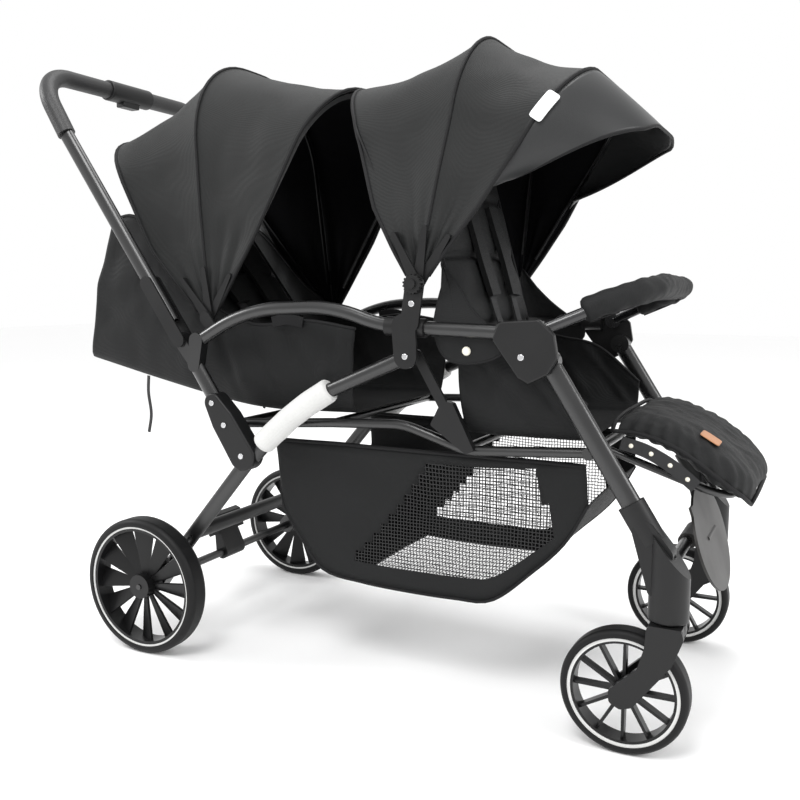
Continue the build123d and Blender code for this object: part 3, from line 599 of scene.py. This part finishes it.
def seat_tub(name, node, low, high, seed, seams, rows):
    """The sewn seat cover: a floor with a side wall at each side, from its front lip to the back.

    low and high are the side wall's lower and upper edge in the side plan, in millimetres.
    """
    lower, upper = station_curve(low, rows), station_curve(high, rows)
    wall, floor, half = 13, 17, SEAT_HALF
    points = np.zeros((rows, 2 * wall + floor, 3))
    for i in range(rows):
        section = []
        for k in range(wall):
            v = 1 - k / wall
            x = lower[i][0] + (upper[i][0] - lower[i][0]) * v
            z = lower[i][1] + (upper[i][1] - lower[i][1]) * v
            bulge = 0.006 * sin(pi * v) - 0.010 * (1 - v) ** 6
            section.append((x, -(half + bulge), z, v))
        for k in range(floor):
            w = -1 + 2 * k / (floor - 1)
            section.append((lower[i][0], w * (half - 0.010), lower[i][1] - 0.001, 0.0))
        for x, y, z, v in section[:wall][::-1]:
            section.append((x, -y, z, v))
        for j, (x, y, z, v) in enumerate(section):
            place = Vector((x, y, z))
            if v > 0:
                out = -1 if y < 0 else 1
                depth = crease((x, y, z), 14, 0.010, seed) + crease((x, y, z), 34, 0.004, seed + 2)
                for (x0, z0), (x1, z1) in seams:
                    depth -= seam_dip(x * 1000, z * 1000, x0, z0, x1, z1)
                place.y += out * depth * min(1.0, 3 * v) * min(1.0, 4 * (1 - v) + 0.15)
            points[i, j] = place
    piece = cloth_sheet(name, points, "chassis", charcoal, thick=0.0024, offset=0.0)
    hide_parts(node)
    edge_roll(f"{name}_right_binding", points[:, 0], 0.0028, "chassis", lift=0.0)
    edge_roll(f"{name}_left_binding", points[:, -1], 0.0028, "chassis", lift=0.0)


def seam_dip(x, z, x0, z0, x1, z1, depth=0.0045, width=5.0):
    """How far cloth is pulled in beside a sewn line of the side plan, in millimetres along it."""
    length = hypot(x1 - x0, z1 - z0)
    t = max(0.0, min(1.0, ((x - x0) * (x1 - x0) + (z - z0) * (z1 - z0)) / length ** 2))
    gap = hypot(x - x0 - t * (x1 - x0), z - z0 - t * (z1 - z0))
    return depth * np.exp(-(gap / width) ** 2)


def panel_pad(label, length, channels, seed):
    """A stuffed back panel: crowned, with sewn cross channels and a piped edge."""
    foot, up, front = back_axes(label)
    rows, columns, edge_half = 45, 37, 0.0045
    cover = []
    for side in (1, -1):
        for i in range(rows):
            s = i / (rows - 1)
            reach = BACK_FOOT + (length - BACK_FOOT) * s
            squeeze = 1.0 - 0.30 * max(0.0, (s - 0.86) / 0.14) ** 2.2
            for j in range(columns):
                w = -1 + 2 * j / (columns - 1)
                edge = (1 - abs(w) ** 5) * (1 - abs(2 * s - 1) ** 9)
                depth = side * (edge_half + (BACK_THICK / 2 - edge_half) * max(0.0, edge) ** 0.6)
                if side > 0:
                    for mark in channels:
                        sewn = np.exp(-((s - mark) * length / 0.007) ** 2)
                        depth -= 0.006 * sewn * min(1.0, 5 * (1 - abs(w)))
                place = Vector((foot.x, w * BACK_HALF * squeeze, foot.z)) + up * reach + front * depth
                cover.append(place)
    faces = [face[::-1] for face in pad_faces(rows, columns)]
    piece = link_mesh(f"{label}_back_pad", cover, faces, f"{label}_back", charcoal)
    swell(piece, cap=0.005)
    smooth = piece.modifiers.new("smooth", "SUBSURF")
    smooth.levels = smooth.render_levels = 1
    settle(piece)

    def sew(place, normal):
        offset = place - Vector((foot.x, 0, foot.z))
        s = (offset.dot(up) - BACK_FOOT) / (length - BACK_FOOT)
        depth = crease(place, 22, 0.0025, seed)
        for mark in channels:
            depth -= 0.005 * np.exp(-((s - mark) * length / 0.006) ** 2)
        return normal * float(depth)

    reshape(piece, sew)
    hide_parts(f"{label}_backrest")
    edge = [cover[k] for k in grid_rim(rows, columns)]
    tube_along(f"{label}_back_pad_piping", edge, 0.003, f"{label}_back", piping, closed=True)


def seats():
    """Both sewn seat covers, drawn in the side plan in millimetres, and both stuffed backrests."""
    rear_low = [(14, 458), (-70, 456), (-150, 455), (-240, 464), (-400, 494), (-572, 531)]
    rear_high = [(20, 598), (-74, 610), (-190, 604), (-300, 662), (-425, 786), (-494, 794)]
    rear_seams = [((-196, 600), (-120, 462)), ((-120, 606), (-30, 465)), ((-20, 600), (-30, 470)),
                  ((-262, 620), (-210, 470))]
    seat_tub("rear_seat_shell", "rear_seat_cover", rear_low, rear_high, 2.2, rear_seams, 61)
    front_low = [(216, 440), (260, 438), (330, 439), (404, 441)]
    front_high = [(200, 584), (262, 572), (330, 556), (407, 494)]
    front_seams = [((230, 570), (330, 445)), ((300, 560), (390, 450))]
    seat_tub("front_seat_shell", "front_seat_cover", front_low, front_high, 6.4, front_seams, 31)
    panel_pad("front", 0.468, (0.26, 0.52, 0.76), 3.0)
    panel_pad("rear", 0.398, (0.3, 0.6), 5.0)


def leg_rest():
    """The leg rest pad: crowned, rolled down at its tip, with wrinkles gathered at the sewn edge."""
    rows, columns, wide = 41, 45, 0.160
    top = station_curve([(442, 474), (480, 474), (530, 460), (575, 436), (612, 408), (634, 384),
                         (640, 366)], rows)
    base = station_curve([(443, 450), (480, 446), (524, 428), (560, 402), (590, 376), (606, 358),
                          (616, 348)], rows)
    cover = []
    for side in (1, -1):
        for i in range(rows):
            s = i / (rows - 1)
            half = wide - 0.070 * max(0.0, (s - 0.62) / 0.38) ** 2.4
            for j in range(columns):
                w = -1 + 2 * j / (columns - 1)
                edge = max(0.0, 1 - abs(w) ** 4.5) ** 0.55
                mid_x, mid_z = (top[i] + base[i]) / 2
                lift_x, lift_z = (top[i] - base[i]) / 2
                grow = side * (0.34 + 0.62 * edge)
                height = mid_z + lift_z * grow - 0.010 * (1 - edge)
                cover.append(Vector((mid_x + lift_x * grow, w * half, height)))
    faces = pad_faces(rows, columns)
    piece = link_mesh("leg_rest_cushion", cover, faces, "leg_rest", charcoal)
    swell(piece, cap=0.004, voxel=0.005)
    smooth = piece.modifiers.new("smooth", "SUBSURF")
    smooth.levels = smooth.render_levels = 1
    settle(piece)
    tip = Vector((0.50, 0, 0.43))

    def gather(place, normal):
        edge = min(1.0, max(0.0, (abs(place.y) / wide - 0.45) / 0.55))
        around = atan2(place.y, place.x - tip.x)
        pleat = sin(around * 46) * 0.0022 * edge ** 2
        return normal * float(pleat + crease(place, 17, 0.005, 3.3) + crease(place, 48, 0.0018, 1.1))

    reshape(piece, gather)
    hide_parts("leg_rest_pad")
    edge = [cover[k] + Vector((-0.003, 0, -0.001)) for k in grid_rim(rows, columns)]
    tube_along("leg_rest_piping", edge, 0.0034, "leg_rest", piping, closed=True)


def bumper_sleeve():
    """The wrapped cover of the bumper bar, pulled on like a sleeve, so that it bunches along its length."""
    low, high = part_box("bumper_cover")
    start = Vector((low[0] + 0.008, -0.2005, low[2] + 0.020))
    tip_x, tip_z, tip_y = high[0] - 0.019, high[2] - 0.019, 0.165
    bend = 10
    path = [start]
    corner, cut = Vector((tip_x, -tip_y, tip_z)), 0.070
    before = corner + (start - corner).normalized() * cut
    after = corner + Vector((0, cut, 0))
    for k in range(bend + 1):
        t = k / bend
        path.append(before.lerp(corner, t).lerp(corner.lerp(after, t), t))
    half = resample([tuple(p) for p in path] + [(tip_x, 0, tip_z)], 60)
    line = np.vstack([half, half[-2::-1] * np.array([1, -1, 1])])
    count, sides = len(line), 28
    points = []
    for i in range(count):
        ahead, behind = line[min(i + 1, count - 1)], line[max(i - 1, 0)]
        run = Vector(ahead - behind).normalized()
        side = run.cross(Vector((0, 0, 1))).normalized()
        rise = side.cross(run)
        for k in range(sides):
            turn = 2 * pi * k / sides
            out = side * cos(turn) + rise * sin(turn)
            place = Vector(line[i])
            bunch = 0.0006 * sin(i * 0.9 + 2.0 * sin(turn * 2)) * (0.3 + 0.7 * abs(sin(turn)))
            size = 0.0182 + bunch + crease(place + out * 0.02, 26, 0.0028, 2.0)
            size += crease(place + out * 0.02, 75, 0.0008, 5.0)
            if i in (0, count - 1):
                size *= 0.86
            points.append(place + out * size)
    faces = grid_faces(count, sides, wrap=True) + end_caps(count, sides)
    piece = link_mesh("bumper_sleeve", points, faces, "bumper_bar", charcoal)
    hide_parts("bumper_cover")
    seam = [Vector(line[i]) + Vector((0, 0, -0.0188)) for i in range(2, count - 2)]
    tube_along("bumper_seam", seam, 0.0013, "bumper_bar", piping)


def carry_wraps():
    """The grey foam wraps on the lower side tubes, a little lumpy and drawn in at their ends."""
    low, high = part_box("carry_sleeves")
    count, sides = 60, 30
    for label, side in (("right", -1), ("left", 1)):
        y = side * (high[1] - 0.0205)
        line = curve_through([(low[0] + 0.013, y, low[2] + 0.020), (-0.083, y, 0.446), (-0.045, y, 0.474),
                              (high[0] - 0.010, y, high[2] - 0.018)], count)
        points = []
        for i in range(count):
            run = Vector(line[min(i + 1, count - 1)] - line[max(i - 1, 0)]).normalized()
            across = Vector((0, 1, 0))
            rise = run.cross(across).normalized() * -1
            for k in range(sides):
                turn = 2 * pi * k / sides
                out = across * cos(turn) + rise * sin(turn)
                end = min(i, count - 1 - i)
                size = 0.0200 - 0.0035 * max(0.0, 1 - end / 2.0) ** 2
                size += crease(Vector(line[i]) + out * 0.02, 35, 0.0012, 8.0)
                points.append(Vector(line[i]) + out * size)
        faces = grid_faces(count, sides, wrap=True) + end_caps(count, sides)
        piece = link_mesh(f"carry_wrap_{label}", points, faces, "chassis", wrap_cloth)
        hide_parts("carry_sleeves")


# ---------------------------------------------------------------- basket
BASKET_TOP = 0.402


def press_down(piece):
    """Gives the piece a copy of its mesh of its own; the basket is not crumpled or moved."""
    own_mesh(piece)


def basket():
    """A cloth basket: solid front and rear bands, and net windows in its sides and floor."""
    low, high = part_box("basket")
    half = high[1] - 0.003
    rows, wall, floor = 49, 13, 15
    lower = station_curve([(-142, 330), (-138, 280), (-100, 222), (-56, 174), (20, 163), (104, 160),
                           (190, 161), (255, 168), (320, 222), (372, 276), (408, 340)], rows)
    upper = np.array([(x / 1000, BASKET_TOP) for x in np.linspace(-145, 406, rows)])
    points = np.zeros((rows, 2 * wall + floor, 3))
    for i in range(rows):
        section = []
        for k in range(wall):
            v = 1 - k / wall
            x = lower[i][0] + (upper[i][0] - lower[i][0]) * v
            z = lower[i][1] + (upper[i][1] - lower[i][1]) * v
            bulge = -0.006 * sin(pi * v) - 0.012 * (1 - v) ** 6
            section.append((x, -(half + bulge), z))
        for k in range(floor):
            w = -1 + 2 * k / (floor - 1)
            section.append((lower[i][0], w * (half - 0.012), lower[i][1] + 0.004 * (1 - w * w)))
        for x, y, z in section[:wall][::-1]:
            section.append((x, -y, z))
        for j, (x, y, z) in enumerate(section):
            place = Vector((x, y, z))
            out = -1 if y < 0 else 1
            if j < wall or j >= wall + floor:
                place.y += out * (crease(place, 12, 0.006, 7.7) - 0.002)
            points[i, j] = place
    columns = 2 * wall + floor
    solid, net = [], []
    for i in range(rows - 1):
        along = (i + 0.5) / (rows - 1)
        for j in range(columns - 1):
            up = abs(j + 0.5 - (columns - 1) / 2) - floor / 2
            in_side = 0.30 + 0.02 * up < along < 0.89 - 0.004 * up and 1.0 < up < 11.5
            in_floor = 0.34 < along < 0.68 and up < -1.5
            here, over = i * columns + j, (i + 1) * columns + j
            face = (here, here + 1, over + 1, over)
            (net if in_side or in_floor else solid).append(face)
    piece = link_mesh("basket_cloth", points.reshape(-1, 3), solid, "chassis", charcoal)
    windows = link_mesh("basket_net", points.reshape(-1, 3), net, "chassis", net_black)
    for cloth, thick in ((piece, 0.0016), (windows, 0.0)):
        clean = bmesh.new()
        clean.from_mesh(cloth.data)
        bmesh.ops.delete(clean, geom=[v for v in clean.verts if not v.link_faces], context="VERTS")
        clean.to_mesh(cloth.data)
        clean.free()
        if thick:
            shell = cloth.modifiers.new("shell", "SOLIDIFY")
            shell.thickness, shell.offset = thick, 0.0
        settle(cloth)
    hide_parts("basket")
    press_down(windows)
    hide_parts("basket")
    press_down(piece)
    rolls = []
    for side, column in (("right", 0), ("left", -1)):
        rolls.append(edge_roll(f"basket_rim_{side}", points[:, column], 0.0035, "chassis", lift=0.0))
        corner = wall if column == 0 else wall + floor - 1
        rolls.append(edge_roll(f"basket_floor_piping_{side}", points[:, corner], 0.0026, "chassis", lift=0.0))
    for roll in rolls:
        press_down(roll)


# ---------------------------------------------------------------- small sewn parts
def side_wings():
    """The soft wing beside the front seat: a rounded lobe hung over the rail and held by a snap."""
    outline = [(178, 700), (228, 640), (268, 606), (290, 590), (288, 568), (262, 556), (226, 552), (198, 560),
               (183, 588), (176, 640)]
    rings, count = 9, 49
    edge = station_curve(outline + outline[:1], count)[:-1]
    middle = np.array([0.222, 0.594])
    for label, side in (("right", -1), ("left", 1)):
        points = np.zeros((rings, count, 3))
        for i in range(rings):
            t = i / (rings - 1)
            for j in range(count):
                x, z = middle + (edge[j % (count - 1)] - middle) * t
                stand = 0.2265 if z < 0.605 else 0.2265 - 0.036 * min(1.0, (z - 0.605) / 0.06)
                place = Vector((x, side * stand, z))
                place.y += side * (0.0045 * (1 - t ** 4) + crease(place, 24, 0.0025, 9.0))
                points[i, j] = place
        piece = cloth_sheet(f"side_wing_{label}", points, "chassis", charcoal, thick=0.0030, offset=0.0)
        tube_along(f"side_wing_binding_{label}", points[-1][:-1], 0.0022, "chassis", piping, closed=True)
        snap(f"wing_snap_{label}", (0.235, side * 0.233, 0.571), side, 0.0068, "chassis")


def snap(name, place, side, radius, body):
    """A domed round button that faces sideways."""
    place = Vector(place)
    path = [place + Vector((0, side * step, 0)) for step in (-0.002, 0.0, 0.0015, 0.0028)]
    tube_along(name, path, [radius, radius, radius * 0.86, radius * 0.35], body, cream, sides=20)


def strap(name, path, wide, thin, body, facing, paint=webbing):
    """A flat strap along a path: its width lies across the facing direction."""
    count, sides = 24, 4
    line = curve_through(path, count)
    facing = Vector(facing)
    points = []
    for i, here in enumerate(line):
        run = Vector(line[min(i + 1, count - 1)] - line[max(i - 1, 0)]).normalized()
        across = run.cross(facing).normalized() * (wide / 2)
        lift = across.cross(run).normalized() * (thin / 2)
        for a, b in ((1, 1), (-1, 1), (-1, -1), (1, -1)):
            points.append(Vector(here) + across * a + lift * b)
    faces = grid_faces(count, sides, wrap=True) + end_caps(count, sides)
    link_mesh(name, points, faces, body, paint, smooth=False)


def harnesses():
    """The two padded shoulder straps on each backrest."""
    for label, reach in (("front", 0.34), ("rear", 0.30)):
        foot, up, front = back_axes(label)
        for side in (-1, 1):
            path = []
            for s, stand, y in ((reach, 0.021, 0.052), (reach * 0.7, 0.025, 0.054),
                                (reach * 0.36, 0.029, 0.046), (0.070, 0.040, 0.022)):
                place = Vector((foot.x, side * y, foot.z)) + up * s + front * stand
                path.append(tuple(place))
            strap(f"{label}_shoulder_strap_{side}", path, 0.024, 0.0022, f"{label}_back", front)
            pad = [path[0], tuple((Vector(path[0]) + Vector(path[1])) / 2), path[1],
                   tuple((Vector(path[1]) + Vector(path[2])) / 2)]
            pad = [tuple(Vector(p) + front * 0.004) for p in pad]
            strap(f"{label}_shoulder_pad_{side}", pad, 0.040, 0.009, f"{label}_back", front, charcoal)


def ties_and_tabs():
    """The tie that hangs from each side of the rear seat, and the tab on its side wall."""
    for name, side in (("rear_tie", -1), ("rear_tie_left", 1)):
        path = [(-0.423, side * 0.186, 0.502), (-0.424, side * 0.187, 0.470), (-0.420, side * 0.186, 0.430),
                (-0.426, side * 0.187, 0.395)]
        strap(name, path, 0.006, 0.0016, "chassis", (0, 1, 0))
    for side in (-1, 1):
        path = [(-0.136, side * 0.196, 0.607), (-0.105, side * 0.198, 0.612), (-0.075, side * 0.196, 0.607)]
        strap(f"rear_side_tab_{side}", path, 0.018, 0.0026, "chassis", (0, 1, 0), piping)


def leg_rest_trim():
    """The blank patch on the leg rest and the strip with round studs under each of its sides."""
    rows = ((0.557, 0.4525), (0.566, 0.4475), (0.575, 0.4420), (0.584, 0.4365))
    spot = np.array([[(x, -0.118 + 0.0085 * j, z) for j in range(6)] for x, z in rows])
    patch = cloth_sheet("blank_patch", spot, "leg_rest", patch_tan, thick=0.0016, offset=0.0)
    for label, side in (("right", -1), ("left", 1)):
        path = [(0.452, side * 0.158, 0.438), (0.490, side * 0.160, 0.428), (0.528, side * 0.160, 0.408),
                (0.560, side * 0.156, 0.382)]
        strap(f"leg_rest_strip_{label}", path, 0.020, 0.003, "leg_rest", (0, 1, 0))
        for k, spot in enumerate(curve_through(path, 9)[1::2]):
            place = (spot[0], spot[1] + side * 0.0012, spot[2])
            snap(f"strip_eyelet_{label}_{k}", place, side, 0.0036, "leg_rest")


# ---------------------------------------------------------------- the whole
camera_and_light()
paint_cad()
hoods()
visor()
seats()
leg_rest()
bumper_sleeve()
carry_wraps()
basket()
side_wings()
harnesses()
ties_and_tabs()
leg_rest_trim()
